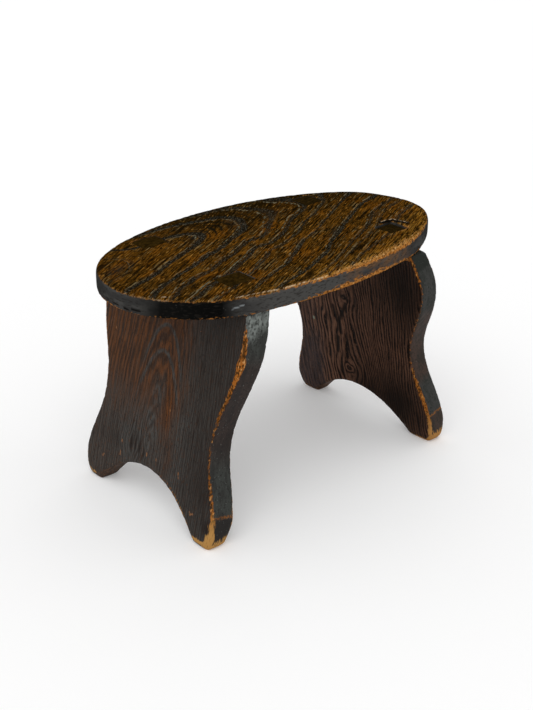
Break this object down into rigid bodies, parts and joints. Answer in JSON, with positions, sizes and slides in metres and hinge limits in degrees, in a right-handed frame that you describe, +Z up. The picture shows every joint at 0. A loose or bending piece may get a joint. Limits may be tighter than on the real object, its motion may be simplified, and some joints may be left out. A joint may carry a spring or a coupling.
{
  "type": "wooden milking stool",
  "caption": "Low country stool: an oval plank seat on two splayed plank ends with ogee sides, arched feet and tenons through the seat.",
  "frame": {"origin": "on the floor, under the middle of the whole stool", "axes": "+X along the seat's long axis, +Y across it, +Z up"},
  "size_m": [0.3834, 0.2234, 0.2485],
  "materials": {
    "seat_elm": "golden brown, dark open grain, worn wax polish",
    "left_end_elm": "very dark brown, old polish, worn arrises",
    "right_end_elm": "very dark brown, old polish, worn arrises"
  },
  "bodies": {
    "root": {"seat": "seat_elm", "leg_left": "left_end_elm", "leg_right": "right_end_elm"}
  },
  "joints": []
}
